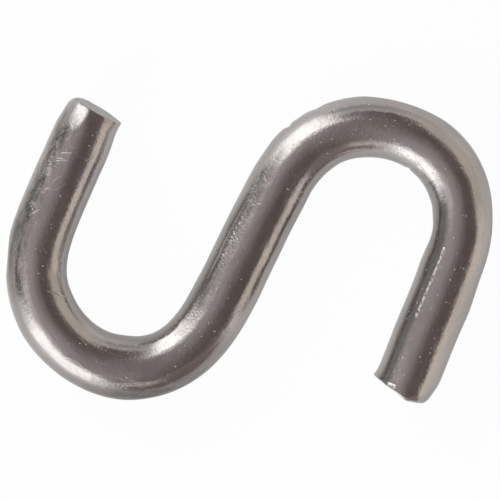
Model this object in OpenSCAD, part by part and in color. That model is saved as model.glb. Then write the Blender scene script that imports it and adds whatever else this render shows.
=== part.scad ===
// S hook: one length of round steel wire, sheared off at both ends and bent cold
// into two open hooks that face opposite ways.
//
// The hook lies flat on z = 0 with its shank along Y. Its upper hook turns
// towards +X and its lower hook towards -X. The origin is on z = 0, under the
// middle of the box that the hook fills. Sizes are in millimetres and degrees.

/* [Wire] */
// Diameter of the round wire
wire_d = 6.35; // [5:0.05:7]

/* [Shank] */
// Straight stretch between the two bends
shank_len = 13.8; // [8:0.1:30]

/* [Upper hook] */
// Centreline radius of each stretch of the bend, from the shank to the leg
upper_radii = [10, 8.1, 14]; // [7:0.1:18]
// Turn of each stretch of the bend
upper_turns = [109, 40.5, 25.72]; // [10:0.01:110]
// Length of the straight leg, along its middle
upper_leg = 13.6; // [8:0.1:18]

/* [Lower hook] */
// Centreline radius of each stretch of the bend, from the shank to the leg
lower_radii = [16.4, 8.6, 10.5]; // [7:0.1:18]
// Turn of each stretch of the bend
lower_turns = [18, 69.5, 88.35]; // [10:0.01:110]
// Length of the straight leg, along its middle
lower_leg = 13.2; // [8:0.1:18]

/* [Sheared ends] */
// Slant of the cuts across the hook, which leaves the outer side of a leg longer
cut_slant = 8.5; // [0:0.5:12]
// Lean of the cuts through the thickness of the hook
cut_lean = 8.5; // [0:0.5:12]
// Length over which the blade drew the outer side down, upper and lower end
draw_len = [2.9, 4]; // [2.5:0.1:4]
// Radius of the drawn side, upper and lower end
draw_r = [5, 7.5]; // [5:0.1:9]
// Radius of the edge between the drawn side and the face of the cut
edge_r = 0.7; // [0.3:0.1:1]

/* [Bending marks] */
// Depth of the flat that the bender left on the outside of the lower bend
lower_flat = 0.22; // [0.05:0.01:0.3]
// Distance of that flat from the shank, along the wire
lower_flat_at = 28.4; // [4:0.1:36]
// Depth of the flat that it left on the outside of the upper bend
upper_flat = 0.12; // [0.05:0.01:0.3]
// Distance of that flat from the shank, along the wire
upper_flat_at = 13.3; // [4:0.1:36]
// Depth of the dent that its pin left on the inside of the upper bend
upper_dent = 0.2; // [0.05:0.01:0.3]
// Distance of that dent from the shank, along the wire
upper_dent_at = 26.8; // [4:0.1:36]

/* [Hidden] */
$fn = 96;

wire_r = wire_d / 2;
reach = 3 * wire_d;  // far enough to clear the wire from anywhere on its axis
roller_r = 30;       // roller of the bender, which leaves the flats
pin_r = 4;           // pin of the bender, which leaves the dent
dip = 0.03;          // how far an arc runs into a surface, so that it never just grazes it

// A run is a list of stretches [length, turn], each one straight on or an even turn
// to the right. A place is [x, y, heading]. Both runs start at the shank.
upper_run = run(upper_radii, upper_turns, upper_leg);
lower_run = run(lower_radii, lower_turns, lower_leg);
upper_start = [0, shank_len / 2, 90];
lower_start = [0, -shank_len / 2, 270];

// Middle of the hook's box, measured from the middle of the shank
path = concat(trace(sides_of(upper_run, draw_len[0]), upper_start),
              trace(sides_of(lower_run, draw_len[1]), lower_start));
middle = [for (i = [0, 1]) (max([for (p = path) p[i]]) + min([for (p = path) p[i]])) / 2];

function run(radii, turns, leg) =
    [for (i = [0 : len(radii) - 1]) [radii[i] * turns[i] * PI / 180, turns[i]], [leg, 0]];

function rest(run) = [for (i = [1 : 1 : len(run) - 1]) run[i]];

function radius(stretch) = stretch[0] * 180 / PI / stretch[1];

// The run as far as its sides are whole, before the leg's drawn end
function sides_of(run, draw) =
    [for (i = [0 : len(run) - 1]) i < len(run) - 1 ? run[i] : [run[i][0] - draw, 0]];

// Place after a share of a stretch
function onward(from, stretch, share) =
    let (to = from[2] - share * stretch[1])
    stretch[1] == 0
        ? [from.x + share * stretch[0] * cos(to), from.y + share * stretch[0] * sin(to), to]
        : [from.x + radius(stretch) * (sin(from[2]) - sin(to)),
           from.y - radius(stretch) * (cos(from[2]) - cos(to)), to];

// Place at a distance along a run
function place_at(run, from, distance) =
    len(run) == 1 || distance <= run[0][0]
        ? onward(from, run[0], distance / run[0][0])
        : place_at(rest(run), onward(from, run[0], 1), distance - run[0][0]);

// Places along a whole run
function trace(run, from, steps = 60) =
    len(run) == 0 ? [] :
    concat([for (k = [0 : steps]) onward(from, run[0], k / steps)],
           trace(rest(run), onward(from, run[0], 1)));

// What is left of a number that is held to six digits
function six_digits(x) =
    let (unit = abs(x) < 1e-12 ? 1 : 10 ^ (floor(log(abs(x))) - 5)) round(x / unit) * unit;

// Moves its children in the plane. The second, tiny move makes good what six digits
// leave out of the first one, so that the stretches of the wire meet exactly.
module shift(v) {
    translate(v) translate(v - [for (x = v) six_digits(x)]) children();
}

// Puts its children, which head along +Y, at a place. A second, tiny turn makes good
// what six digits leave out of the first one.
module at(place) {
    turn = place[2] - 90;
    held = atan2(six_digits(sin(turn)), six_digits(cos(turn)));
    shift([place.x, place.y]) rotate([0, 0, turn]) rotate([0, 0, turn - held]) children();
}

// Straight wire along +Y
module straight(length) {
    rotate([-90, 0, 0]) cylinder(r = wire_r, h = length);
}

// Wire of one turn to the right
module bend(from, stretch) {
    r = radius(stretch);
    shift([from.x + r * sin(from[2]), from.y - r * cos(from[2])])
        rotate_extrude(angle = stretch[1], start = from[2] + 90 - stretch[1])
            translate([r, 0]) circle(r = wire_r);
}

// Wire of a run, one stretch after another, with its leg's end sheared off
module run_wire(run, from, draw, side_r, lean) {
    if (len(run) == 1) at(from) leg(run[0][0], draw, side_r, lean);
    else {
        bend(from, run[0]);
        run_wire(rest(run), onward(from, run[0], 1), draw, side_r, lean);
    }
}

// Straight leg along +Y, cut off by the shear. The outer side of the hook is at -X.
module leg(length, draw, side_r, lean) {
    intersection() {
        straight(length + wire_r);
        translate([0, length, 0]) rotate([lean, 0, 0])
            linear_extrude(height = 2 * reach, center = true) cut_outline(draw, side_r);
    }
}

// Outline of a sheared end: a slanted face, and an outer side that is drawn down
// to it in one long arc and one tight one
module cut_outline(draw, side_r) {
    outwards = [-cos(cut_slant), sin(cut_slant)];
    off_face = [sin(cut_slant), cos(cut_slant)];
    side_c = [side_r - dip - wire_r, -draw];
    edge_in = edge_r - dip;
    gap = -edge_in * off_face - side_c;
    slide = sqrt((gap * outwards) ^ 2 - gap * gap + (side_r - edge_in) ^ 2) - gap * outwards;
    edge_c = slide * outwards - edge_in * off_face;
    side_way = (edge_c - side_c) / norm(edge_c - side_c);
    difference() {
        polygon([[reach, -reach], [-reach, -reach], reach * outwards, -reach * outwards]);
        // what lies past the long arc
        difference() {
            translate([-reach, -draw]) square([reach + side_c.x, reach]);
            translate(side_c) circle(r = side_r);
        }
        // what lies past the tight arc
        translate(edge_c) difference() {
            polygon(wire_r * [[0, 0], off_face, off_face + side_way, side_way]);
            circle(r = edge_r);
        }
    }
}

// What a tool of radius tool_r presses out of the wire: depth is counted from its
// side, on the outer side of the bend (side = -1) or on the inner one (side = 1)
module press_mark(depth, tool_r, side) {
    translate([side * (wire_r - depth + tool_r), 0, 0])
        cylinder(r = tool_r, h = 2 * wire_d, center = true);
}

module upper_hook() {
    difference() {
        run_wire(upper_run, upper_start, draw_len[0], draw_r[0], -cut_lean);
        at(place_at(upper_run, upper_start, upper_flat_at)) press_mark(upper_flat, roller_r, -1);
        at(place_at(upper_run, upper_start, upper_dent_at)) press_mark(upper_dent, pin_r, 1);
    }
}

module lower_hook() {
    difference() {
        run_wire(lower_run, lower_start, draw_len[1], draw_r[1], cut_lean);
        at(place_at(lower_run, lower_start, lower_flat_at)) press_mark(lower_flat, roller_r, -1);
    }
}

module shank() {
    translate([0, -shank_len / 2, 0]) straight(shank_len);
}

module hook() {
    color("#8c8480") translate([-middle.x, -middle.y, wire_r]) {
        shank();
        upper_hook();
        lower_hook();
    }
}

hook();
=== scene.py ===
import math

import bpy
import numpy as np
from bpy.props import (
    FloatProperty,
    FloatVectorProperty,
    IntProperty,
    PointerProperty,
)
from bpy.types import Operator, Panel, PropertyGroup
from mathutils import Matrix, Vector, noise


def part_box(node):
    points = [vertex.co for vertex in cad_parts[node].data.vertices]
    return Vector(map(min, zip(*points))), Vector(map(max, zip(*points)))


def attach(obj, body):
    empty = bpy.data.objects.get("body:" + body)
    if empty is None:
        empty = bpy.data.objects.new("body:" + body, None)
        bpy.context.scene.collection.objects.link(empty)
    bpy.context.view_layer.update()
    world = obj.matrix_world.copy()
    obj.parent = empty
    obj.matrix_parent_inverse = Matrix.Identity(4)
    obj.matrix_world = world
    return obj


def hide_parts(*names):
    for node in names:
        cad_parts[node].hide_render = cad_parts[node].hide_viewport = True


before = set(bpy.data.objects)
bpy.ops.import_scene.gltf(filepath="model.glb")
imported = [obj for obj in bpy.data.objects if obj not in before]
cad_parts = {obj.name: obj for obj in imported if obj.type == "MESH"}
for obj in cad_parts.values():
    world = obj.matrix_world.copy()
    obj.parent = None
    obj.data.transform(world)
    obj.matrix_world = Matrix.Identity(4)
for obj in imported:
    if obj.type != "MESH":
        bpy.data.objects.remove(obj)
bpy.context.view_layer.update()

bl_info = {
    "name": "S hook",
    "version": (1, 0, 0),
    "blender": (4, 5, 0),
    "location": "3D View > Sidebar > S hook",
    "description": "An S hook of thick round steel wire, bent cold and sheared at both ends",
    "category": "Add Mesh",
}

MM = 0.001
LOWER, UPPER = -1, 1  # the two ends of the wire, by the sign of the way along it

cad_low, cad_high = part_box("hook")
WIRE_DIAMETER = cad_high.z - cad_low.z

# --------------------------------------------------------------- sizes and finishes


def length(name, description, default, **more):
    return FloatProperty(
        name=name, description=description, default=default, unit="LENGTH", **more
    )


def angle(name, description, degrees):
    return FloatProperty(
        name=name, description=description, default=math.radians(degrees), subtype="ANGLE"
    )


def factor(name, description, default):
    return FloatProperty(
        name=name, description=description, default=default, subtype="FACTOR", min=0.0, max=1.0
    )


def color(name, description, default):
    return FloatVectorProperty(
        name=name, description=description, default=default, subtype="COLOR", min=0.0, max=1.0
    )


def radii(name, description, in_mm):
    return FloatVectorProperty(
        name=name, description=description, default=[r * MM for r in in_mm], unit="LENGTH"
    )


def turns(name, description, degrees):
    return FloatVectorProperty(
        name=name,
        description=description,
        default=[math.radians(a) for a in degrees],
        subtype="EULER",
    )


class WireSizes(PropertyGroup):
    """Sizes of the bent wire."""

    wire_diameter: length("Wire diameter", "Diameter of the round wire", WIRE_DIAMETER)
    shank_length: length("Shank length", "Straight stretch between the bends", 13.8 * MM)
    upper_radii: radii(
        "Upper radii",
        "Centreline radius of each stretch of the upper bend, from the shank",
        (10.0, 8.1, 14.0),
    )
    upper_turns: turns(
        "Upper turns",
        "Turn of each stretch of the upper bend, from the shank",
        (109.0, 40.5, 25.72),
    )
    upper_leg: length("Upper leg", "Straight length of the upper leg", 13.6 * MM)
    lower_radii: radii(
        "Lower radii",
        "Centreline radius of each stretch of the lower bend, from the shank",
        (16.4, 8.6, 10.5),
    )
    lower_turns: turns(
        "Lower turns",
        "Turn of each stretch of the lower bend, from the shank",
        (18.0, 69.5, 88.35),
    )
    lower_leg: length("Lower leg", "Straight length of the lower leg", 13.31 * MM)
    cut_slant: angle("Cut slant", "Slant of the cuts across the hook", 8.5)
    upper_lean: angle("Upper lean", "Lean of the upper cut through the thickness", 8.5)
    lower_lean: angle("Lower lean", "Lean of the lower cut through the thickness", 5.6)
    ring_step: length("Ring step", "Distance from one ring of points to the next", 0.19 * MM)
    points_round: IntProperty(
        name="Points round", description="Points in each ring round the wire", default=144
    )


class SteelFinish(PropertyGroup):
    """Colours and finish of the steel."""

    skin_color: color("Skin colour", "Colour of the drawn skin", (0.50, 0.472, 0.457))
    # painted dark reflection: a dark colour put on outer edges of the lower hook, standing in
    # for the dark surroundings they would mirror
    painted_dark_reflection_color: color(
        "Painted dark reflection colour", "Colour of the painted dark reflection on the skin", (0.11, 0.095, 0.09)
    )
    cut_color: color("Cut colour", "Colour of the sheared faces", (0.56, 0.555, 0.54))
    roughness: factor("Roughness", "Roughness of the drawn skin", 0.13)
    grain_depth: length("Grain depth", "Depth of the grain of the skin", 0.021 * MM)
    line_depth: length("Line depth", "Depth of the drawing lines", 0.006 * MM)


class StudioSetup(PropertyGroup):
    """Floor, surroundings and camera."""

    floor_color: color("Floor colour", "Colour of the floor", (0.54, 0.55, 0.54))
    floor_roughness: factor("Floor roughness", "Roughness of the floor", 0.3)
    floor_glow: factor("Floor glow", "How far the floor is plain white to the camera", 0.97)
    mirrored_glow: factor(
        "Mirrored glow",
        "How far the floor is plain white in reflections and through glass",
        0.35,
    )
    lens: FloatProperty(
        name="Lens",
        description="Focal length of the camera",
        default=800.0,
        min=1.0,
        unit="CAMERA",
    )
    camera_turn: angle("Camera turn", "Turn of the camera about its own axis", 26.61)
    view_width: length("View width", "Width of the view at the wire's middle", 50.963 * MM)


# ----------------------------------------------------------------- path of the wire

DRAWN_FROM = {LOWER: 4.0, UPPER: 2.9}  # length of each end that the blade drew down
PATH_SAMPLES = 2000  # places along the wire that the box of its path is taken from


class Run:
    """One half of the wire, from the shank's middle outwards: stretches that go
    straight on or turn evenly to the right. Lengths are in millimetres."""

    def __init__(self, half_shank, radii, turns, leg, heading):
        self.stretches = [(half_shank, 0.0)]
        self.stretches += [(r * t, t) for r, t in zip(radii, turns)]
        self.stretches += [(leg, 0.0)]
        self.heading = heading
        self.length = sum(length for length, _ in self.stretches)

    def places(self, along):
        """Points and headings at the distances along the run."""
        points = np.zeros((len(along), 2))
        headings = np.zeros(len(along))
        start, heading, passed = np.zeros(2), self.heading, 0.0
        for i, (length, turn) in enumerate(self.stretches):
            inside = along >= passed
            if i < len(self.stretches) - 1:
                inside &= along < passed + length
            step = np.append(along[inside] - passed, length)
            to = heading - turn * step / length
            if turn:
                moves = (length / turn) * np.column_stack(
                    (math.sin(heading) - np.sin(to), np.cos(to) - math.cos(heading))
                )
            else:
                moves = np.outer(step, (math.cos(heading), math.sin(heading)))
            points[inside] = start + moves[:-1]
            headings[inside] = to[:-1]
            start, heading, passed = start + moves[-1], to[-1], passed + length
        return points, headings


class WirePath:
    """The wire's centreline. The way along it is counted in millimetres from the
    middle of the shank: below zero on the lower hook, above zero on the upper one.
    Its origin is under the middle of the box that the hook fills."""

    def __init__(self, sizes):
        half_shank = sizes.shank_length / MM / 2
        self.radius = sizes.wire_diameter / MM / 2
        self.runs = {
            end: Run(
                half_shank, [r / MM for r in radii], turns, leg / MM, math.radians(heading)
            )
            for end, radii, turns, leg, heading in (
                (UPPER, sizes.upper_radii, sizes.upper_turns, sizes.upper_leg, 90),
                (LOWER, sizes.lower_radii, sizes.lower_turns, sizes.lower_leg, 270),
            )
        }
        self.middle = np.zeros(2)
        whole = np.linspace(
            DRAWN_FROM[LOWER] - self.runs[LOWER].length,
            self.runs[UPPER].length - DRAWN_FROM[UPPER],
            PATH_SAMPLES,
        )
        points = self.places(whole)[0]
        self.middle = (points.max(axis=0) + points.min(axis=0)) / 2

    def places(self, along):
        """Centres and right-hand directions at the distances along the wire."""
        centre = np.zeros((len(along), 2))
        heading = np.zeros(len(along))
        for end, run in self.runs.items():
            mine = along < 0 if end == LOWER else along >= 0
            centre[mine], way = run.places(np.abs(along[mine]))
            heading[mine] = way if end == UPPER else way + math.pi
        right = np.column_stack((np.sin(heading), -np.cos(heading)))
        return centre - self.middle, right

    def bend(self, straight):
        """Points of the straight wire (x right, y along, z up) laid on the path."""
        centre, right = self.places(straight[:, 1])
        flat = centre + straight[:, :1] * right
        return np.column_stack((flat, straight[:, 2] + self.radius))


# ------------------------------------------------------------------ the wire's blank

MERGED = 1e-4  # millimetres: the points of a pole lie nearer to each other than this


def wire_tree():
    """Geometry nodes that draw round wire along a row of points. Each point carries
    the width of the wire there, as a share of the whole."""
    tree = bpy.data.node_groups.new("round wire", "GeometryNodeTree")
    for name, kind in (
        ("Geometry", "NodeSocketGeometry"),
        ("Wire radius", "NodeSocketFloat"),
        ("Points round", "NodeSocketInt"),
        ("Steel", "NodeSocketMaterial"),
    ):
        tree.interface.new_socket(name, in_out="INPUT", socket_type=kind)
    tree.interface.new_socket("Geometry", in_out="OUTPUT", socket_type="NodeSocketGeometry")
    add = tree.nodes.new
    given = add("NodeGroupInput")
    width = add("GeometryNodeInputNamedAttribute")
    width.data_type = "FLOAT"
    width.inputs["Name"].default_value = "share"
    curve = add("GeometryNodeMeshToCurve")
    upright = add("GeometryNodeSetCurveNormal")
    upright.mode = "Z_UP"
    ring = add("GeometryNodeCurvePrimitiveCircle")
    sweep = add("GeometryNodeCurveToMesh")
    poles = add("GeometryNodeMergeByDistance")
    poles.inputs["Distance"].default_value = MERGED * MM
    smooth = add("GeometryNodeSetShadeSmooth")
    realize = add("GeometryNodeRealizeInstances")
    paint = add("GeometryNodeSetMaterial")
    result = add("NodeGroupOutput")
    for source, output, target, entry in (
        (given, "Geometry", curve, "Mesh"),
        (curve, "Curve", upright, "Curve"),
        (upright, "Curve", sweep, "Curve"),
        (given, "Points round", ring, "Resolution"),
        (given, "Wire radius", ring, "Radius"),
        (ring, "Curve", sweep, "Profile Curve"),
        (width, "Attribute", sweep, "Scale"),
        (sweep, "Mesh", poles, "Geometry"),
        (poles, "Geometry", smooth, "Geometry"),
        (smooth, "Geometry", realize, "Geometry"),
        (realize, "Geometry", paint, "Geometry"),
        (given, "Steel", paint, "Material"),
        (paint, "Geometry", result, "Geometry"),
    ):
        tree.links.new(source.outputs[output], target.inputs[entry])
    return tree


def set_input(modifier, name, value):
    """Sets a named input of a geometry nodes modifier by its socket's identifier."""
    for item in modifier.node_group.interface.items_tree:
        if item.in_out == "INPUT" and item.name == name:
            modifier[item.identifier] = value
            return
    raise KeyError(name)


SIDE_ROWS = 28  # rings on the drawn-down side of an end
EDGE_ROWS = 10  # rings on the edge of its face
FACE_ROWS = 16  # rings from there to the middle of the face
CAP_ROWS = SIDE_ROWS + EDGE_ROWS + FACE_ROWS
SHAPED_FROM = 4.8  # an end is shaped over this distance from the tip, in millimetres


def stations(path, step):
    """Places of the rings along the wire, its width there as a share of the whole,
    and how far each ring is over an end: 0 on the side, 1 or -1 on the tip."""
    lower = SHAPED_FROM - path.runs[LOWER].length
    upper = path.runs[UPPER].length - SHAPED_FROM
    side = np.linspace(lower, upper, int((upper - lower) / step) + 1)
    over = np.arange(1, CAP_ROWS + 1) / CAP_ROWS
    dome = path.radius * np.sin(np.pi / 2 * over)
    thin = np.cos(np.pi / 2 * over)
    thin[-1] = 0.0
    along = np.concatenate((lower - dome[::-1], side, upper + dome))
    share = np.concatenate((thin[::-1], np.ones(len(side)), thin))
    return along, share, np.concatenate((-over[::-1], np.zeros(len(side)), over))


def read_floats(mesh, key):
    """The values of an attribute at the points of a mesh."""
    found = np.zeros(len(mesh.vertices), np.float32)
    mesh.attributes[key].data.foreach_get("value", found)
    return found.astype(float)


def read_places(mesh):
    """The places of the points of a mesh, in millimetres."""
    found = np.zeros(len(mesh.vertices) * 3, np.float32)
    mesh.vertices.foreach_get("co", found)
    return found.reshape(-1, 3).astype(float) / MM


def draw_blank(context, path, sizes, steel):
    """A mesh of round wire on the path, with round ends."""
    along, share, over = stations(path, sizes.ring_step / MM)
    line = path.bend(np.column_stack((along * 0, along, along * 0)))
    mesh = bpy.data.meshes.new("wire line")
    edges = [(i, i + 1) for i in range(len(line) - 1)]
    mesh.from_pydata((line * MM).tolist(), edges, [])
    for key, values in (("share", share), ("along", along), ("over", over)):
        mesh.attributes.new(key, "FLOAT", "POINT").data.foreach_set("value", values)
    blank = bpy.data.objects.new("wire blank", mesh)
    context.scene.collection.objects.link(blank)
    sweep = blank.modifiers.new("round wire", "NODES")
    sweep.node_group = wire_tree()
    set_input(sweep, "Wire radius", sizes.wire_diameter / 2)
    set_input(sweep, "Points round", sizes.points_round)
    set_input(sweep, "Steel", steel)
    graph = context.evaluated_depsgraph_get()
    solid = bpy.data.meshes.new_from_object(blank.evaluated_get(graph))
    bpy.data.objects.remove(blank)
    bpy.data.meshes.remove(mesh)
    return solid


# ------------------------------------------------------------------ shaping the wire

# Marks that bending and handling left on the wire: way along it, side that it is on
# (0 is right of the way along, 90 is up), reach along and round, and height, which is
# below zero for a hollow. Lengths are in millimetres and angles in degrees.
MARKS = {
    "hollow inside the lower tip": (-50.3, 180, 1.0, 45, -0.08),
    "swell at the lower tip's inside": (-47.6, 180, 1.6, 45, 0.07),
    "hollow inside the lower leg": (-41.2, 180, 2.6, 45, -0.08),
    "swell before the lower leg": (-37.5, 180, 1.2, 45, 0.04),
    "hollow inside the lower bend": (-33.0, 180, 1.8, 45, -0.08),
    "hollow outside the lower tip": (-50.3, 0, 1.0, 40, -0.16),
    "hollow by the lower tip": (-48.7, 0, 1.0, 40, -0.09),
    "hollow outside the lower leg": (-47.0, 0, 2.2, 40, -0.10),
    "swell outside the lower leg": (-40.5, 0, 1.4, 40, 0.04),
    "hollow round the lower roller's dent": (-35.3, 0, 2.6, 40, -0.10),
    "swell outside the lower bend's middle": (-28.8, 0, 2.0, 40, 0.08),
    "swell inside the lower bend": (-19.9, 180, 2.6, 50, 0.18),
    "swell outside the lower bend": (-19.9, 0, 2.0, 40, 0.05),
    "hollow outside the lower bend": (-14.5, 0, 2.5, 40, -0.04),
    "swell below the shank": (-7.6, 180, 2.2, 45, 0.09),
    "swell left of the shank": (1.2, 180, 4.4, 45, 0.09),
    "swell right of the shank": (-4.9, 0, 2.0, 45, 0.08),
    "hollow right of the shank": (2.6, 0, 2.0, 45, -0.06),
    "hollow above the shank": (8.2, 180, 1.2, 26, -0.09),
    "nick": (11.15, 180, 0.26, 17, -0.20),
    "hollow next to the nick": (12.1, 180, 0.6, 18, -0.06),
    "hollow past the nick": (13.7, 180, 0.5, 17, -0.12),
    "swell before the upper flat": (18.0, 180, 0.8, 26, 0.06),
    "scuff inside the upper bend": (14.3, 0, 3.0, 36, -0.15),
    "hollow inside the upper bend": (23.5, 0, 6.5, 40, -0.15),
    "notch inside the upper bend": (24.0, 0, 0.35, 16, -0.14),
    "hollow outside the upper bend": (31.5, 180, 4.0, 45, -0.08),
    "hollow outside the upper leg": (37.6, 180, 2.0, 45, -0.10),
    "hollow before the upper leg": (31.8, 0, 1.8, 40, -0.12),
    "swell before the upper leg": (38.2, 0, 1.6, 50, 0.10),
    "swell outside the upper leg": (41.6, 180, 2.0, 45, 0.10),
    "swell inside the upper leg": (45.4, 0, 3.4, 45, 0.06),
    "hollow outside the upper tip": (50.5, 180, 0.8, 45, -0.05),
}

# Tools that pressed a flat or a dent: way along, side (1 is right of the way along),
# depth and radius of the tool, in millimetres
PRESSES = {
    "roller outside the lower bend": (-35.4, 1, 0.24, 6.0),
    "roller outside the upper bend": (20.9, -1, 0.19, 30.0),
    "pin inside the upper bend": (34.0, 1, 0.23, 13.0),
}
PRESS_EDGE = 0.04  # roundness of the edge of a pressed flat, in millimetres
TOOL_SPAN = 0.9  # share of a tool's radius that can touch the wire
CORE = 0.1  # nearer to the axis than this, in millimetres, marks and lumps die out


def wrapped(degrees):
    """Angles brought between -180 and 180 degrees."""
    return (degrees + 180) % 360 - 180


def bell(offset, reach):
    """1 in the middle, dying out smoothly beyond the reach."""
    return np.exp(-((offset / reach) ** 2))


def patch(straight, at, side, reach, spread):
    """1 in the middle of a patch of the side, dying out along and round the wire."""
    x, y, z = straight.T
    side_at = np.degrees(np.arctan2(z, x))
    return bell(y - at, reach) * bell(wrapped(side_at - side), spread)


def raised(straight, height):
    """The points moved away from the axis by a height each."""
    x, y, z = straight.T
    scale = 1 + height / np.maximum(np.hypot(x, z), CORE)
    return np.column_stack((x * scale, y, z * scale))


def mark_side(straight, radius):
    """Presses the marks into the side of the straight wire."""
    height = sum(rise * patch(straight, *where) for *where, rise in MARKS.values())
    x, y, z = raised(straight, height).T
    for at, side, depth, tool in PRESSES.values():
        touched = np.abs(y - at) < TOOL_SPAN * tool
        gap = tool - np.sqrt(np.maximum(tool**2 - (y - at) ** 2, 0))
        over = side * x - np.where(touched, radius - depth + gap, 3 * radius)
        x = x - side * PRESS_EDGE * np.logaddexp(0, over / PRESS_EDGE)
    return np.column_stack((x, y, z))


# Uneven lumps in the side: way along and side of the middle, reach along and round,
# height, and size of a lump along and across
LUMPS = {
    "skin of the bends": (0, 0, 400, 4000, 0.010, 1.2, 0.7),
    "battered side of the lower leg": (-44.0, 44, 6.0, 24, 0.07, 1.3, 0.55),
    "galled inside of the upper bend": (25.0, 25, 6.0, 22, 0.03, 0.9, 0.35),
}
LEAST_LUMP = 0.02  # a share of lumps below this is left out
LUMP_SHIFT = 40  # steps along the pattern, so that no two patches have the same lumps

# Where the skin is worn: way along and side of the middle, reach along and round, and
# how worn it is there, 0 to 1
WORN = {
    "side of the lower leg": (-44.0, 44, 7.0, 25, 1.0),
    "outside of the lower bend": (-36.0, 52, 4.5, 20, 0.65),
    "end of the lower bend": (-20.5, 62, 2.5, 16, 0.6),
    "left of the shank": (-1.0, 131, 9.0, 14, 0.9),
    "inside of the upper bend": (26.0, 40, 6.0, 20, 0.6),
    "right of the shank": (0.0, 60, 14.0, 30, 0.2),
}
# Where short scratches cross the skin, given in the same way
SCUFFED = {
    "lower leg": (-45.0, 66, 5.5, 34, 1.0),
    "end of the lower bend": (-37.0, 62, 3.5, 24, 0.4),
}
# Where a dark reflection is painted on the skin, given in the same way
PAINTED_DARK_REFLECTIONS = {
    "side of the lower leg": (-45.0, 40, 6.0, 10, 0.75),
    "end of the lower bend": (-36.0, 34, 4.5, 12, 0.75),
    "outside of the lower bend": (-18.0, 24, 6.5, 34, 0.85),
}


def share_of(patches, straight):
    """How much the patches cover each point, 0 to 1."""
    return sum(much * patch(straight, *where) for *where, much in patches.values()).clip(0, 1)


def lump_side(straight):
    """Raises and sinks the side in uneven lumps."""
    x, y, z = straight.T
    height = np.zeros(len(x))
    for k, (*where, rise, tall, wide) in enumerate(LUMPS.values()):
        near = patch(straight, *where)
        for i in np.nonzero(near > LEAST_LUMP)[0]:
            spot = Vector((x[i] / wide, y[i] / tall + LUMP_SHIFT * k, z[i] / wide))
            height[i] += rise * near[i] * noise.noise(spot)
    return raised(straight, height)


# ------------------------------------------------------------------------- the ends

# Shape of each end towards its sides, in millimetres: how far the side is drawn in,
# over what distance, and how round its edge is. In a leg's own frame the shank lies
# at 0 degrees and the top at 90.
END_SIDES = {
    UPPER: {
        0: (0.0, 1.0, 0.08),
        50: (0.0, 0.8, 0.10),
        85: (0.04, 0.9, 0.14),
        120: (0.20, 1.6, 0.50),
        150: (0.60, 2.4, 0.70),
        180: (0.86, 3.0, 0.80),
        225: (0.70, 2.6, 0.70),
        270: (0.30, 1.8, 0.40),
        315: (0.10, 1.2, 0.20),
    },
    LOWER: {
        0: (0.0, 0.8, 0.06),
        30: (0.02, 0.8, 0.08),
        60: (0.16, 3.0, 0.12),
        90: (0.44, 2.6, 0.16),
        118: (0.66, 3.7, 0.26),
        150: (0.86, 4.0, 0.60),
        180: (0.96, 4.2, 1.00),
        225: (0.85, 3.6, 0.90),
        270: (0.40, 2.4, 0.50),
        315: (0.15, 1.4, 0.25),
    },
}
DRAW_CURVE = 2.2  # power of the curve in which the drawn side turns in

# Burr that the blade left on each end: direction in the leg's frame, spread, how far
# it flares and over what distance it dies out along the leg
BURRS = {UPPER: (0, 34, 0.26, 0.50), LOWER: (8, 30, 0.09, 0.35)}

# Torn lips on the faces: place across the face, towards the shank and upwards, size,
# and height, which is below zero for a hollow
LIPS = {
    UPPER: [(-0.65, 2.75, 0.9, 0.24), (2.8, 1.5, 1.7, -0.20)],
    LOWER: [(1.2, -1.5, 1.5, 0.09), (-2.2, -1.0, 0.9, -0.12)],
}
FACE_GRAIN = 0.035  # height of the torn grain on the faces, in millimetres
GRAINS_PER_MM = 2.2
GRAIN_ROUGHNESS, GRAIN_STEP, GRAIN_OCTAVES = 1.0, 2.0, 4
GRAIN_SHIFT = 9.0  # steps through the pattern, so that the two faces differ


def to_sides(sides, spoke):
    """Values for each spoke, which turn smoothly from one side to the next."""
    angles = np.array([*sides, 360.0])
    values = np.array([*sides.values(), sides[0]])
    at = np.degrees(spoke) % 360
    i = np.clip(np.searchsorted(angles, at, side="right") - 1, 0, len(sides) - 1)
    share = (at - angles[i]) / (angles[i + 1] - angles[i])
    share = ((1 - np.cos(np.pi * share)) / 2)[:, None]
    return (values[i] * (1 - share) + values[i + 1] * share).T


def end_rows(end, spoke, tip, radius, slant, lean):
    """Rings over an end, from the side to the middle of the face, as distances from
    the axis and along the leg, one column for each spoke."""
    inset, reach, edge = to_sides(END_SIDES[end], spoke)
    burr_at, burr_spread, flare, fade = BURRS[end]
    burr = flare * bell(wrapped(np.degrees(spoke) - burr_at), burr_spread)
    tilt = math.tan(slant) * np.cos(spoke) + math.tan(lean) * np.sin(spoke)
    corner = np.array((radius - inset + burr, tip - radius * tilt))
    begin = tip - SHAPED_FROM

    def side(share):
        y = begin + (corner[1] - edge - begin) * share
        near = np.clip(1 - (corner[1] - y) / reach, 0, 1)
        return np.array(
            (radius - inset * near**DRAW_CURVE + burr * np.exp((y - corner[1]) / fade), y)
        )

    rows = [side(i / SIDE_ROWS) for i in range(1, SIDE_ROWS + 1)]
    first = rows[-1]
    last = np.array((corner[0] - edge, corner[1] + edge * tilt))
    for i in range(1, EDGE_ROWS + 1):
        t = i / EDGE_ROWS
        rows.append((1 - t) ** 2 * first + 2 * t * (1 - t) * corner + t * t * last)
    for i in range(1, FACE_ROWS + 1):
        t = 1 - i / FACE_ROWS
        rows.append(np.array((last[0] * t, tip - (tip - last[1]) * t)))
    return np.array(rows)


def torn_grain(across, up, end):
    """Height of the torn grain at a point of a face."""
    spot = Vector((across, up, GRAIN_SHIFT * end)) * GRAINS_PER_MM
    return noise.fractal(spot, GRAIN_ROUGHNESS, GRAIN_STEP, GRAIN_OCTAVES)


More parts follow.
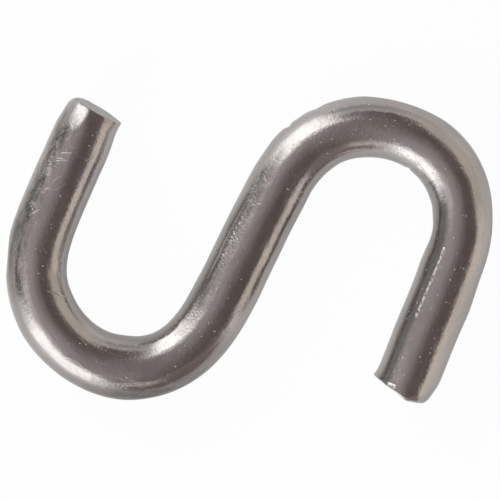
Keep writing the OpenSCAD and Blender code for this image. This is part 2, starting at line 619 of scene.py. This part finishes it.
def shear_ends(path, straight, over, sizes):
    """Moves the round ends of the blank to where the shear left them."""
    for end, run in path.runs.items():
        mine = over * end > 0
        x, z = straight[mine, 0], straight[mine, 2]
        # the shank lies right of the way along on the upper leg, left on the lower one
        spoke = np.arctan2(z, end * x)
        row = np.rint(np.abs(over[mine]) * CAP_ROWS).astype(int) - 1
        rows = end_rows(
            end,
            spoke,
            run.length,
            path.radius,
            sizes.cut_slant,
            -sizes.upper_lean if end == UPPER else sizes.lower_lean,
        )
        out, along = rows[row, :, np.arange(len(spoke))].T
        across, up = out * np.cos(spoke), out * np.sin(spoke)
        torn = np.clip((row - SIDE_ROWS + 1) / EDGE_ROWS, 0, 1)
        lip = sum(h * bell(np.hypot(across - a, up - b), s) for a, b, s, h in LIPS[end])
        grain = np.array([torn_grain(a, b, end) for a, b in zip(across, up)])
        along = along + torn * (lip + FACE_GRAIN * grain)
        straight[mine] = np.column_stack((end * across, end * along, up))
    return straight


# ------------------------------------------------------------------------ materials


class Shader:
    """Adds nodes to the tree of a material, a group or the surroundings."""

    def __init__(self, tree):
        self.tree = tree

    def node(self, kind, **settings):
        made = self.tree.nodes.new(kind)
        for key, value in settings.items():
            setattr(made, key, value)
        return made

    def feed(self, socket, value):
        if isinstance(value, bpy.types.NodeSocket):
            self.tree.links.new(value, socket)
        else:
            socket.default_value = value

    def fed(self, kind, given, **settings):
        """What a node puts out that is given values by the names or numbers of its
        sockets."""
        made = self.node(kind, **settings)
        for key, value in given.items():
            self.feed(made.inputs[key], value)
        return made.outputs

    def placed(self, group, given):
        return self.fed("ShaderNodeGroup", given, node_tree=group)

    def attribute(self, name, output="Fac"):
        return self.node("ShaderNodeAttribute", attribute_name=name).outputs[output]

    def math(self, operation, *values):
        return self.fed("ShaderNodeMath", dict(enumerate(values)), operation=operation)[0]

    def vector(self, operation, *values):
        given = dict(enumerate(values))
        made = self.fed("ShaderNodeVectorMath", given, operation=operation)
        return made["Value" if operation in ("DOT_PRODUCT", "LENGTH") else "Vector"]

    def scaled(self, vector, factor):
        given = {0: vector, "Scale": factor}
        return self.fed("ShaderNodeVectorMath", given, operation="SCALE")["Vector"]

    def mix(self, share, a, b):
        """A blend of two colours. A mix node has sockets for other kinds too, so the
        colours' own are told by their numbers."""
        return self.fed("ShaderNodeMix", {0: share, 6: a, 7: b}, data_type="RGBA")[2]

    def ramp(self, value, low, high, to_low=0.0, to_high=1.0, steps="SMOOTHSTEP"):
        """What a value from low to high becomes."""
        given = dict(enumerate((value, low, high, to_low, to_high)))
        return self.fed("ShaderNodeMapRange", given, interpolation_type=steps)[0]

    def noise(self, at, stretch, scale, detail, rough):
        """An uneven pattern, 0 to 1."""
        place = self.vector("MULTIPLY", at, stretch)
        given = {"Vector": place, "Scale": scale, "Detail": detail, "Roughness": rough}
        return self.fed("ShaderNodeTexNoise", given)["Fac"]

    def bump(self, bsdf, height):
        """Gives a surface its relief, from a height in millimetres."""
        relief = self.fed("ShaderNodeBump", {"Distance": MM, "Height": height})
        self.feed(bsdf.inputs["Normal"], relief[0])

    def sum(self, *values):
        total = values[0]
        for value in values[1:]:
            total = self.math("ADD", total, value)
        return total


def new_material(name):
    """A material, its tree and its Principled BSDF."""
    material = bpy.data.materials.new(name)
    material.use_nodes = True
    return material, Shader(material.node_tree), material.node_tree.nodes["Principled BSDF"]


def rgba(color):
    return (*color, 1.0)


def shaded(color, share):
    """A colour made darker, or brighter if the share is above 1."""
    return rgba([c * share for c in color])


def new_group(name, inputs, outputs):
    """A shader group with named sockets: its tree, and what it is given and puts out."""
    tree = bpy.data.node_groups.new(name, "ShaderNodeTree")
    for side, sockets in (("INPUT", inputs), ("OUTPUT", outputs)):
        for socket, kind in sockets.items():
            tree.interface.new_socket(socket, in_out=side, socket_type="NodeSocket" + kind)
    s = Shader(tree)
    return tree, s, s.node("NodeGroupInput").outputs, s.node("NodeGroupOutput").inputs


PIT_SIZES = (0.4, 1.6)  # smallest and largest pit, as shares of the given size
PIT_FLOOR = 0.2  # share of a pit that is its flat floor
PIT_PALENESS = (0.1, 0.8)  # of the least and the most pale pit
PIT_DEPTH = 0.35  # share of its size that a pit is deep


def pitting_group():
    """Small pits that are scattered over steel: a mask and how high they stand."""
    tree, s, given, out = new_group(
        "pitting",
        {"Place": "Vector", "Cells": "Float", "Size": "Float", "Share": "Float"},
        {"Mask": "Float", "Height": "Float"},
    )
    cells = s.fed("ShaderNodeTexVoronoi", {"Vector": given["Place"], "Scale": given["Cells"]})
    distance = s.math("DIVIDE", cells["Distance"], given["Cells"])
    pick = s.fed("ShaderNodeSeparateColor", {0: cells["Color"]})
    chosen = s.math("LESS_THAN", pick[0], given["Share"])
    size = s.math("MULTIPLY", given["Size"], s.ramp(pick[1], 0.0, 1.0, *PIT_SIZES))
    near = s.ramp(distance, size, s.math("MULTIPLY", size, PIT_FLOOR))
    mask = s.math("MULTIPLY", near, chosen)
    paleness = s.ramp(pick[2], 0.0, 1.0, *PIT_PALENESS)
    s.feed(out["Mask"], s.math("MULTIPLY", mask, paleness))
    s.feed(out["Height"], s.math("MULTIPLY", mask, s.math("MULTIPLY", size, -PIT_DEPTH)))
    return tree


def stroke_group():
    """A straight stroke on the unrolled skin, from one point over a reach."""
    tree, s, given, out = new_group(
        "stroke",
        {"Place": "Vector", "From": "Vector", "Reach": "Vector", "Width": "Float"},
        {"Mask": "Float"},
    )
    off = s.vector("SUBTRACT", given["Place"], given["From"])
    share = s.math(
        "DIVIDE",
        s.vector("DOT_PRODUCT", off, given["Reach"]),
        s.vector("DOT_PRODUCT", given["Reach"], given["Reach"]),
    )
    share = s.math("MINIMUM", s.math("MAXIMUM", share, 0.0), 1.0)
    miss = s.vector("LENGTH", s.vector("SUBTRACT", off, s.scaled(given["Reach"], share)))
    s.feed(out["Mask"], s.ramp(miss, given["Width"], 0.0))
    return tree


# Layers of hairlines: courses per millimetre, and how far the pattern is moved so that
# each layer has courses of its own
HAIRLINES = ((0.42, 0.0), (0.31, 37.0), (0.85, 71.0))
# Pattern of a layer's courses: stretch along each axis, detail and roughness. Then that
# of the lengths of them that are scratched, which has patterns per millimetre too.
HAIRLINE_COURSE = ((1, 0.8, 1), 1.0, 0.4)
HAIRLINE_STRETCH = ((1, 0.6, 1), 0.23, 1.0, 0.5)
HAIRLINE_ENDS = (0.62, 0.66)  # the second pattern where they begin and where they are whole


def hairline_group():
    """Fine scratches that wander over the skin."""
    tree, s, given, out = new_group(
        "hairlines",
        {"Place": "Vector", "Share": "Float", "Width": "Float"},
        {"Mask": "Float"},
    )
    lines = []
    begin, whole = (s.math("SUBTRACT", value, given["Share"]) for value in HAIRLINE_ENDS)
    stretch, detail, rough = HAIRLINE_COURSE
    for scale, shift in HAIRLINES:
        moved = s.vector("ADD", given["Place"], (shift, shift, 0))
        course = s.noise(moved, stretch, scale, detail, rough)
        # a line runs wherever the pattern passes through its middle value
        off = s.math("ABSOLUTE", s.math("SUBTRACT", course, 0.5))
        line = s.ramp(off, s.math("MULTIPLY", given["Width"], scale), 0.0)
        here = s.ramp(s.noise(moved, *HAIRLINE_STRETCH), begin, whole)
        lines.append(s.math("MULTIPLY", line, here))
    s.feed(out["Mask"], s.math("MAXIMUM", s.math("MAXIMUM", *lines[:2]), lines[2]))
    return tree


# Scratches and creases in the skin: way along and side of one end and of the other,
# width, and depth, below zero for a ridge. Lengths in millimetres, sides in degrees.
STROKES = {
    "crease inside the lower bend": (-31.9, 108, -31.0, 126, 0.10, 0.020),
    "deep part of the crease": (-31.0, 126, -30.3, 146, 0.12, 0.040),
    "end of the crease": (-30.3, 146, -30.4, 168, 0.12, 0.035),
    "nick's line": (11.1, 176, 10.9, 146, 0.12, 0.030),
    "long scratch on the shank": (0.2, 131, -1.3, 88, 0.07, 0.012),
    "short scratch on the shank": (-1.2, 92, 0.1, 66, 0.07, 0.012),
    "scratch on the lower leg": (-46.4, 66, -47.4, 112, 0.06, 0.010),
    "second scratch on the lower leg": (-46.9, 84, -46.6, 131, 0.06, 0.010),
    "third scratch on the lower leg": (-47.3, 128, -45.9, 104, 0.06, 0.008),
    "crossed scratch": (-39.4, 56, -40.2, 68, 0.08, 0.016),
    "scratch across it": (-40.3, 52, -39.7, 64, 0.08, 0.016),
    "scratch on the lower bend": (-37.4, 88, -36.2, 108, 0.07, 0.010),
}
# Galled metal: way along and side of one end and of the other, and width
GALLS = {
    "streak along the inside of the upper leg": (36.4, 62, 43.9, 59, 0.25),
    "flake on the upper end's edge": (51.4, 58, 51.4, 72, 0.22),
}

# Patterns in the skin: stretch along each axis, patterns per millimetre, detail and
# roughness
SKIN_PATTERNS = {
    "lines": ((1, 0.05, 1), 5.5, 2.0, 0.6),
    "grain": ((1, 0.9, 1), 3.6, 2.0, 0.6),
    "grit": ((1, 0.8, 1), 7.5, 1.0, 0.6),
    "batter": ((1, 0.4, 1), 1.4, 3.0, 0.65),
    "patches": ((1, 0.35, 1), 0.5, 2.0, 0.55),
    "beads": ((1, 1.2, 1), 2.6, 2.0, 0.6),
}

# What patterns, patches and places do to the skin: the values between which they do it,
# and what comes out at each of these, which is 0 and 1 if it isn't given
SKIN_RAMPS = {
    "pits by patches": (0.4, 0.6, 0.1, 0.65),
    "hairlines by scuffs": (0.1, 0.9, -0.02, 0.14),
    "pale hairlines by scuffs": (0.1, 0.8, 0.0, 0.3),
    "galling by beads": (0.42, 0.52),
    "grain depth by patches": (0.35, 0.65, 0.35, 0.9),
    "batter depth by wear": (0.5, 1.0, 0.0, 0.2),
    "haze by lines and grain": (0.42, 0.62, 0.0, 0.13),
    "haze by the way to the lower tip": (-48.0, -51.0, 0.0, 0.07),
    "brightness by patches": (0.35, 0.65),
    "stain by batter": (0.5, 0.6, 0.0, 0.7),
    # the painted dark reflection is broken up by the batter pattern
    "painted_dark_reflection by batter": (0.35, 0.6, 0.7, 1.0),
}
PIT_CELLS = 2.6  # places for a pit in a millimetre
PIT_SIZE, GALL_HEIGHT = 0.06, 0.06  # in millimetres, as the next two
HAIRLINE_WIDTH, HAIRLINE_DEPTH = 0.03, 0.005
GRIT_SHARE = 0.25  # depth of the grit, as a share of the grain's
WEAR_HAZE, MARK_HAZE = 0.03, 0.35  # what wear and pale marks add to the roughness
DULL_SHARE, STAIN_SHARE = 0.88, 0.4  # of the skin's colour
BARED = (0.96, 0.95, 0.94)  # colour of the steel in pits, scratches and galled places


def drawn_steel(finish, radius):
    """Skin of the drawn wire: lines along it, grain, pits, scratches, haze, and a painted dark
    reflection on outer edges of the lower hook.
    """
    material, s, bsdf = new_material("drawn steel")
    at = s.attribute("straight", "Vector")
    wear, scuffs, painted_dark_reflection = (s.attribute(name) for name in ("wear", "scuffs", "painted_dark_reflection"))
    parts = s.fed("ShaderNodeSeparateXYZ", {0: at})
    around = s.math("MULTIPLY", s.math("ARCTAN2", parts["Z"], parts["X"]), radius)
    unrolled = s.fed("ShaderNodeCombineXYZ", {"X": around, "Y": parts["Y"]})[0]
    lines, grain, grit, batter, patches, beads = (
        s.noise(at, *pattern) for pattern in SKIN_PATTERNS.values()
    )

    def ramp(value, key, **more):
        return s.ramp(value, *SKIN_RAMPS[key], **more)

    share = ramp(patches, "pits by patches")
    given = {"Place": at, "Cells": PIT_CELLS, "Size": PIT_SIZE, "Share": share}
    pits = s.placed(pitting_group(), given)
    share = ramp(scuffs, "hairlines by scuffs", steps="LINEAR")
    given = {"Place": at, "Share": share, "Width": HAIRLINE_WIDTH}
    hairs = s.placed(hairline_group(), given)["Mask"]

    stroke = stroke_group()
    per_degree = math.radians(radius)

    def stroke_mask(along, side, to_along, to_side, width):
        begin = (side * per_degree, along, 0)
        reach = ((to_side - side) * per_degree, to_along - along, 0)
        given = {"Place": unrolled, "From": begin, "Reach": reach, "Width": width}
        return s.placed(stroke, given)["Mask"]

    cuts = s.sum(
        *(s.math("MULTIPLY", stroke_mask(*place), depth) for *place, depth in STROKES.values())
    )
    gall = s.math("MAXIMUM", *(stroke_mask(*place) for place in GALLS.values()))
    gall = s.math("MULTIPLY", gall, ramp(beads, "galling by beads"))

    rough = s.math("ADD", ramp(patches, "grain depth by patches"), wear)
    strength = s.math("MULTIPLY", rough, finish.grain_depth / MM)
    height = s.sum(
        s.math("MULTIPLY", lines, finish.line_depth / MM),
        s.math("MULTIPLY", grain, strength),
        s.math("MULTIPLY", grit, s.math("MULTIPLY", strength, GRIT_SHARE)),
        s.math("MULTIPLY", batter, ramp(wear, "batter depth by wear")),
        pits["Height"],
        s.math("MULTIPLY", gall, GALL_HEIGHT),
        s.math("MULTIPLY", hairs, -HAIRLINE_DEPTH),
    )
    s.bump(bsdf, s.math("SUBTRACT", height, cuts))

    pale = s.math("MULTIPLY", hairs, ramp(scuffs, "pale hairlines by scuffs"))
    marks = s.math("MAXIMUM", s.math("MAXIMUM", pits["Mask"], gall), pale)
    texture = s.math("MULTIPLY", s.math("ADD", lines, grain), 0.5)
    haze = s.sum(
        ramp(texture, "haze by lines and grain"),
        finish.roughness,
        ramp(parts["Y"], "haze by the way to the lower tip"),
        s.math("MULTIPLY", wear, WEAR_HAZE),
        s.math("MULTIPLY", marks, MARK_HAZE),
    )
    s.feed(bsdf.inputs["Roughness"], haze)
    skin = finish.skin_color
    shade = s.mix(ramp(patches, "brightness by patches"), shaded(skin, DULL_SHARE), rgba(skin))
    stained = s.math("MULTIPLY", ramp(batter, "stain by batter"), wear)
    shade = s.mix(stained, shade, shaded(skin, STAIN_SHARE))
    # painted dark reflection: outer edges of the lower hook are made darker towards a dark
    # colour, less where the batter pattern is low
    painted_dark_share = s.math("MULTIPLY", painted_dark_reflection, ramp(batter, "painted_dark_reflection by batter"))
    shade = s.mix(painted_dark_share, shade, rgba(finish.painted_dark_reflection_color))
    s.feed(bsdf.inputs["Base Color"], s.mix(marks, shade, rgba(BARED)))
    s.feed(bsdf.inputs["Metallic"], 1.0)
    return material


# Patterns in the sheared faces, given as for the skin, and their depths in millimetres
TORN_GRAIN = ((1, 1, 1), 7.0, 4.0, 0.65)
TORN_DRAG = ((0.15, 1, 1), 4.0, 2.0, 0.6)
TORN_GRAIN_DEPTH, TORN_DRAG_DEPTH = 0.03, 0.02
TORN_ROUGHNESS = (0.3, 0.7, 0.28, 0.45)  # a ramp of the grain
TORN_BRIGHTNESS = (0.35, 0.65)  # a ramp of the drag
TORN_DARK_SHARE = 0.8  # of the faces' colour


def sheared_steel(finish):
    """Faces that the shear left: torn and grainy."""
    material, s, bsdf = new_material("sheared steel")
    at = s.attribute("straight", "Vector")
    grain, drag = s.noise(at, *TORN_GRAIN), s.noise(at, *TORN_DRAG)
    grain_height = s.math("MULTIPLY", grain, TORN_GRAIN_DEPTH)
    s.bump(bsdf, s.sum(grain_height, s.math("MULTIPLY", drag, TORN_DRAG_DEPTH)))
    dark = shaded(finish.cut_color, TORN_DARK_SHARE)
    shade = s.mix(s.ramp(drag, *TORN_BRIGHTNESS), dark, rgba(finish.cut_color))
    s.feed(bsdf.inputs["Base Color"], shade)
    s.feed(bsdf.inputs["Metallic"], 1.0)
    s.feed(bsdf.inputs["Roughness"], s.ramp(grain, *TORN_ROUGHNESS))
    return material


# ------------------------------------------------------------------------- the hook

TORN_EDGE_ROWS = 3.5  # rings of an edge that show torn steel, up to half-way to the next


def paint_faces(solid, over, material):
    """Gives the sheared faces a material of their own."""
    solid.materials.append(material)
    corners = np.zeros(len(solid.loops), np.int32)
    solid.loops.foreach_get("vertex_index", corners)
    starts = np.zeros(len(solid.polygons), np.int32)
    solid.polygons.foreach_get("loop_start", starts)
    least = np.minimum.reduceat(np.abs(over)[corners], starts)
    sheared = least > (SIDE_ROWS + EDGE_ROWS - TORN_EDGE_ROWS) / CAP_ROWS
    solid.polygons.foreach_set("material_index", sheared.astype(np.int32))


class SHOOK_OT_hook(Operator):
    """Bend the wire into the hook, shear its ends and mark its skin."""

    bl_idname = "shook.hook"
    bl_label = "Hook"

    def execute(self, context):
        sizes = context.scene.shook_wire
        finish = context.scene.shook_steel
        path = WirePath(sizes)
        solid = draw_blank(context, path, sizes, drawn_steel(finish, path.radius))
        solid.name = "s hook"
        along, over = read_floats(solid, "along"), read_floats(solid, "over")
        places = read_places(solid)
        centre, right = path.places(along)
        across = ((places[:, :2] - centre) * right).sum(axis=1)
        straight = np.column_stack((across, along, places[:, 2] - path.radius))
        straight = shear_ends(path, straight, over, sizes)
        straight = lump_side(mark_side(straight, path.radius))
        places = path.bend(straight)
        # nothing of the wire, such as a swell, passes the exact part's box
        places = np.clip(places, np.array(cad_low) / MM, np.array(cad_high) / MM)
        solid.vertices.foreach_set("co", (places * MM).ravel())
        spots = solid.attributes.new("straight", "FLOAT_VECTOR", "POINT")
        spots.data.foreach_set("vector", straight.ravel())
        for name, patches in (("wear", WORN), ("scuffs", SCUFFED), ("painted_dark_reflection", PAINTED_DARK_REFLECTIONS)):
            shares = solid.attributes.new(name, "FLOAT", "POINT")
            shares.data.foreach_set("value", share_of(patches, straight))
        paint_faces(solid, over, sheared_steel(finish))
        solid.update()
        if len(solid.polygons) < CAP_ROWS * sizes.points_round:
            raise RuntimeError("the wire came out without its sides")
        hook = bpy.data.objects.new("s_hook", solid)
        context.scene.collection.objects.link(hook)
        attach(hook, "root")
        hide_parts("hook")
        return {"FINISHED"}


# ------------------------------------------------------------------------ the stage

# What the steel shows above the floor: a white backdrop all round, a ceiling that is
# pale on one side and dark on the other, and flat cards and softboxes. Each of them
# faces the hook from an azimuth and an elevation, and covers the angles from .. to
# sideways and from .. to upwards; then follow how soft its edges are, how bright it
# is, and its tint. Angles are in degrees.
WHITE = (1.0, 1.0, 1.0)
BEIGE = (1.0, 0.90, 0.83)
ROSE = (1.0, 0.83, 0.80)
PALE_ROSE = (1.0, 0.91, 0.93)
CEILING_PALE_SIDE = 215
CEILING_DARK = 0.18
CEILING_PALE = 0.50
CEILING_TURN = (-0.35, 0.4)  # how far towards the pale side it turns from dark to pale
CEILING_FROM, CEILING_TO = 20, 30  # the backdrop gives way to it between these
CARDS = {
    "dark card": (315, 0, -25, 35, -45, 40, 5, 0.32, ROSE),
    "grey-beige board": (65, 0, -40, 25, -45, 45, 5, 0.72, BEIGE),
    "beige board": (15, 0, -20, 15, -45, 30, 3, 0.95, BEIGE),
    "grey card": (115, 0, -25, 25, -45, 20, 8, 0.50, PALE_ROSE),
    "card between the softboxes": (200, 0, -25, 20, -45, 30, 5, 0.25, WHITE),
    "glow over softbox two": (220, 45, -10, 20, -10, 10, 5, 0.90, PALE_ROSE),
    "light past softbox two": (290, 26, -20, 20, -7, 7, 4, 0.95, PALE_ROSE),
    "softbox one": (155, 30, -15, 10, -30, 25, 8, 2.4, WHITE),
    "softbox two": (255, 20, -20, 20, -20, 20, 8, 2.4, WHITE),
}


def panel_group():
    """1 inside a panel of the surroundings and 0 outside it."""
    ways = ("Direction", "Facing", "Side", "Top")
    spans = ("Across", "Across half", "Up", "Up half", "Soft")
    inputs = {**dict.fromkeys(ways, "Vector"), **dict.fromkeys(spans, "Float")}
    tree, s, given, out = new_group("panel", inputs, {"Mask": "Float"})
    ahead = s.vector("DOT_PRODUCT", given["Direction"], given["Facing"])
    masks = []
    for way, name in (("Side", "Across"), ("Top", "Up")):
        along = s.vector("DOT_PRODUCT", given["Direction"], given[way])
        off = s.math("DEGREES", s.math("ARCTAN2", along, ahead))
        off = s.math("ABSOLUTE", s.math("SUBTRACT", off, given[name]))
        half, soft = given[name + " half"], given["Soft"]
        inner, outer = s.math("SUBTRACT", half, soft), s.math("ADD", half, soft)
        masks.append(s.ramp(off, outer, inner))
    s.feed(out["Mask"], s.math("MULTIPLY", *masks))
    return tree


def toward(azimuth, elevation):
    """Direction from the hook to an azimuth and an elevation, in degrees."""
    a, e = math.radians(azimuth), math.radians(elevation)
    return Vector((math.cos(a) * math.cos(e), math.sin(a) * math.cos(e), math.sin(e)))


def build_surroundings(scene):
    """What the steel shows above the floor."""
    world = bpy.data.worlds.new("studio")
    world.use_nodes = True
    scene.world = world
    s = Shader(world.node_tree)
    world.node_tree.nodes.clear()
    way = s.node("ShaderNodeTexCoord").outputs["Generated"]
    lean = s.vector("DOT_PRODUCT", way, toward(CEILING_PALE_SIDE, 0))
    ceiling = s.mix(
        s.ramp(lean, *CEILING_TURN),
        shaded(ROSE, CEILING_DARK),
        shaded(PALE_ROSE, CEILING_PALE),
    )
    up = s.vector("DOT_PRODUCT", way, toward(0, 90))
    overhead = s.ramp(up, *(math.sin(math.radians(a)) for a in (CEILING_FROM, CEILING_TO)))
    shade = s.mix(overhead, rgba(WHITE), ceiling)
    panel = panel_group()
    for azimuth, elevation, left, right, low, high, soft, bright, tint in CARDS.values():
        facing, side = toward(azimuth, elevation), toward(azimuth + 90, 0)
        given = {
            "Direction": way,
            "Facing": facing,
            "Side": side,
            "Top": facing.cross(side),
            "Across": (left + right) / 2,
            "Across half": (right - left) / 2,
            "Up": (low + high) / 2,
            "Up half": (high - low) / 2,
            "Soft": soft,
        }
        shade = s.mix(s.placed(panel, given)["Mask"], shade, shaded(tint, bright))
    # the camera sees the backdrop alone, without the cards
    seen = s.node("ShaderNodeLightPath").outputs["Is Camera Ray"]
    room = s.fed("ShaderNodeBackground", {"Color": s.mix(seen, shade, rgba(WHITE))})
    s.feed(s.node("ShaderNodeOutputWorld").inputs["Surface"], room[0])


# Lamps that light the floor where the softboxes stand: azimuth, elevation, distance
# and size in metres, and power in watts
LAMPS = {
    "softbox one": (155, 30, 0.5, 0.26, 1.7),
    "softbox two": (255, 20, 0.5, 0.34, 2.1),
}


def build_lamps(scene):
    """Lamps where the softboxes stand."""
    for name, (azimuth, elevation, away, size, power) in LAMPS.items():
        light = bpy.data.lights.new(name, "AREA")
        light.size = size
        light.energy = power
        lamp = bpy.data.objects.new(name, light)
        scene.collection.objects.link(lamp)
        way = toward(azimuth, elevation)
        lamp.location = way * away
        lamp.rotation_euler = way.to_track_quat("Z", "Y").to_euler()
        # the surroundings already show the softboxes to the steel
        lamp.visible_camera = False
        lamp.visible_glossy = False


FLOOR_HALF = 0.6  # metres from its middle to its sides


def build_floor(scene, setup):
    """A pale floor, which glows a little where it would be left grey."""
    mesh = bpy.data.meshes.new("floor")
    near, far = -FLOOR_HALF, FLOOR_HALF
    corners = [(near, near, 0), (far, near, 0), (far, far, 0), (near, far, 0)]
    mesh.from_pydata(corners, [], [(0, 1, 2, 3)])
    floor = bpy.data.objects.new("floor", mesh)
    scene.collection.objects.link(floor)
    material, s, bsdf = new_material("pale floor")
    s.feed(bsdf.inputs["Base Color"], rgba(setup.floor_color))
    s.feed(bsdf.inputs["Roughness"], setup.floor_roughness)
    glow = s.fed("ShaderNodeEmission", {"Color": rgba(WHITE)})
    seen = s.node("ShaderNodeLightPath").outputs
    mirrored = s.math("MAXIMUM", seen["Is Glossy Ray"], seen["Is Transmission Ray"])
    share = s.sum(
        s.math("MULTIPLY", seen["Is Camera Ray"], setup.floor_glow),
        s.math("MULTIPLY", mirrored, setup.mirrored_glow),
    )
    lit = s.fed("ShaderNodeMixShader", {0: share, 1: bsdf.outputs[0], 2: glow[0]})
    s.feed(material.node_tree.nodes["Material Output"].inputs["Surface"], lit[0])
    mesh.materials.append(material)


VIEW_MIDDLE = (0.1730, -0.2843)  # what the camera stands over, in millimetres
VIEW_DEPTH = 10  # metres that the camera sees


def build_camera(scene, setup):
    """A camera that looks straight down from far off."""
    camera = bpy.data.cameras.new("camera")
    camera.lens = setup.lens
    camera.clip_end = VIEW_DEPTH
    eye = bpy.data.objects.new("camera", camera)
    scene.collection.objects.link(eye)
    away = setup.view_width * setup.lens / camera.sensor_width
    x, y = VIEW_MIDDLE
    eye.location = (x * MM, y * MM, WIRE_DIAMETER / 2 + away)
    eye.rotation_euler = (0, 0, setup.camera_turn)
    scene.camera = eye


class SHOOK_OT_stage(Operator):
    """Set up the floor, the surroundings, the lamps and the camera."""

    bl_idname = "shook.stage"
    bl_label = "Stage"

    def execute(self, context):
        setup = context.scene.shook_studio
        build_floor(context.scene, setup)
        build_surroundings(context.scene)
        build_lamps(context.scene)
        build_camera(context.scene, setup)
        context.scene.view_settings.view_transform = "Standard"
        return {"FINISHED"}


class SHOOK_PT_panel(Panel):
    """Sizes and finishes of the hook, and the buttons that make it."""

    bl_idname = "SHOOK_PT_panel"
    bl_label = "S hook"
    bl_space_type = "VIEW_3D"
    bl_region_type = "UI"
    bl_category = "S hook"

    def draw(self, context):
        scene = context.scene
        for group, operator in (
            (scene.shook_wire, None),
            (scene.shook_steel, SHOOK_OT_hook),
            (scene.shook_studio, SHOOK_OT_stage),
        ):
            box = self.layout.box()
            for key in group.__annotations__:
                box.prop(group, key)
            if operator:
                box.operator(operator.bl_idname)


CLASSES = (
    WireSizes,
    SteelFinish,
    StudioSetup,
    SHOOK_OT_hook,
    SHOOK_OT_stage,
    SHOOK_PT_panel,
)


def register():
    for cls in CLASSES:
        bpy.utils.register_class(cls)
    bpy.types.Scene.shook_wire = PointerProperty(type=WireSizes)
    bpy.types.Scene.shook_steel = PointerProperty(type=SteelFinish)
    bpy.types.Scene.shook_studio = PointerProperty(type=StudioSetup)


def unregister():
    del bpy.types.Scene.shook_studio
    del bpy.types.Scene.shook_steel
    del bpy.types.Scene.shook_wire
    for cls in reversed(CLASSES):
        bpy.utils.unregister_class(cls)


def main():
    register()
    bpy.ops.shook.hook()
    bpy.ops.shook.stage()


if __name__ == "__main__":
    main()
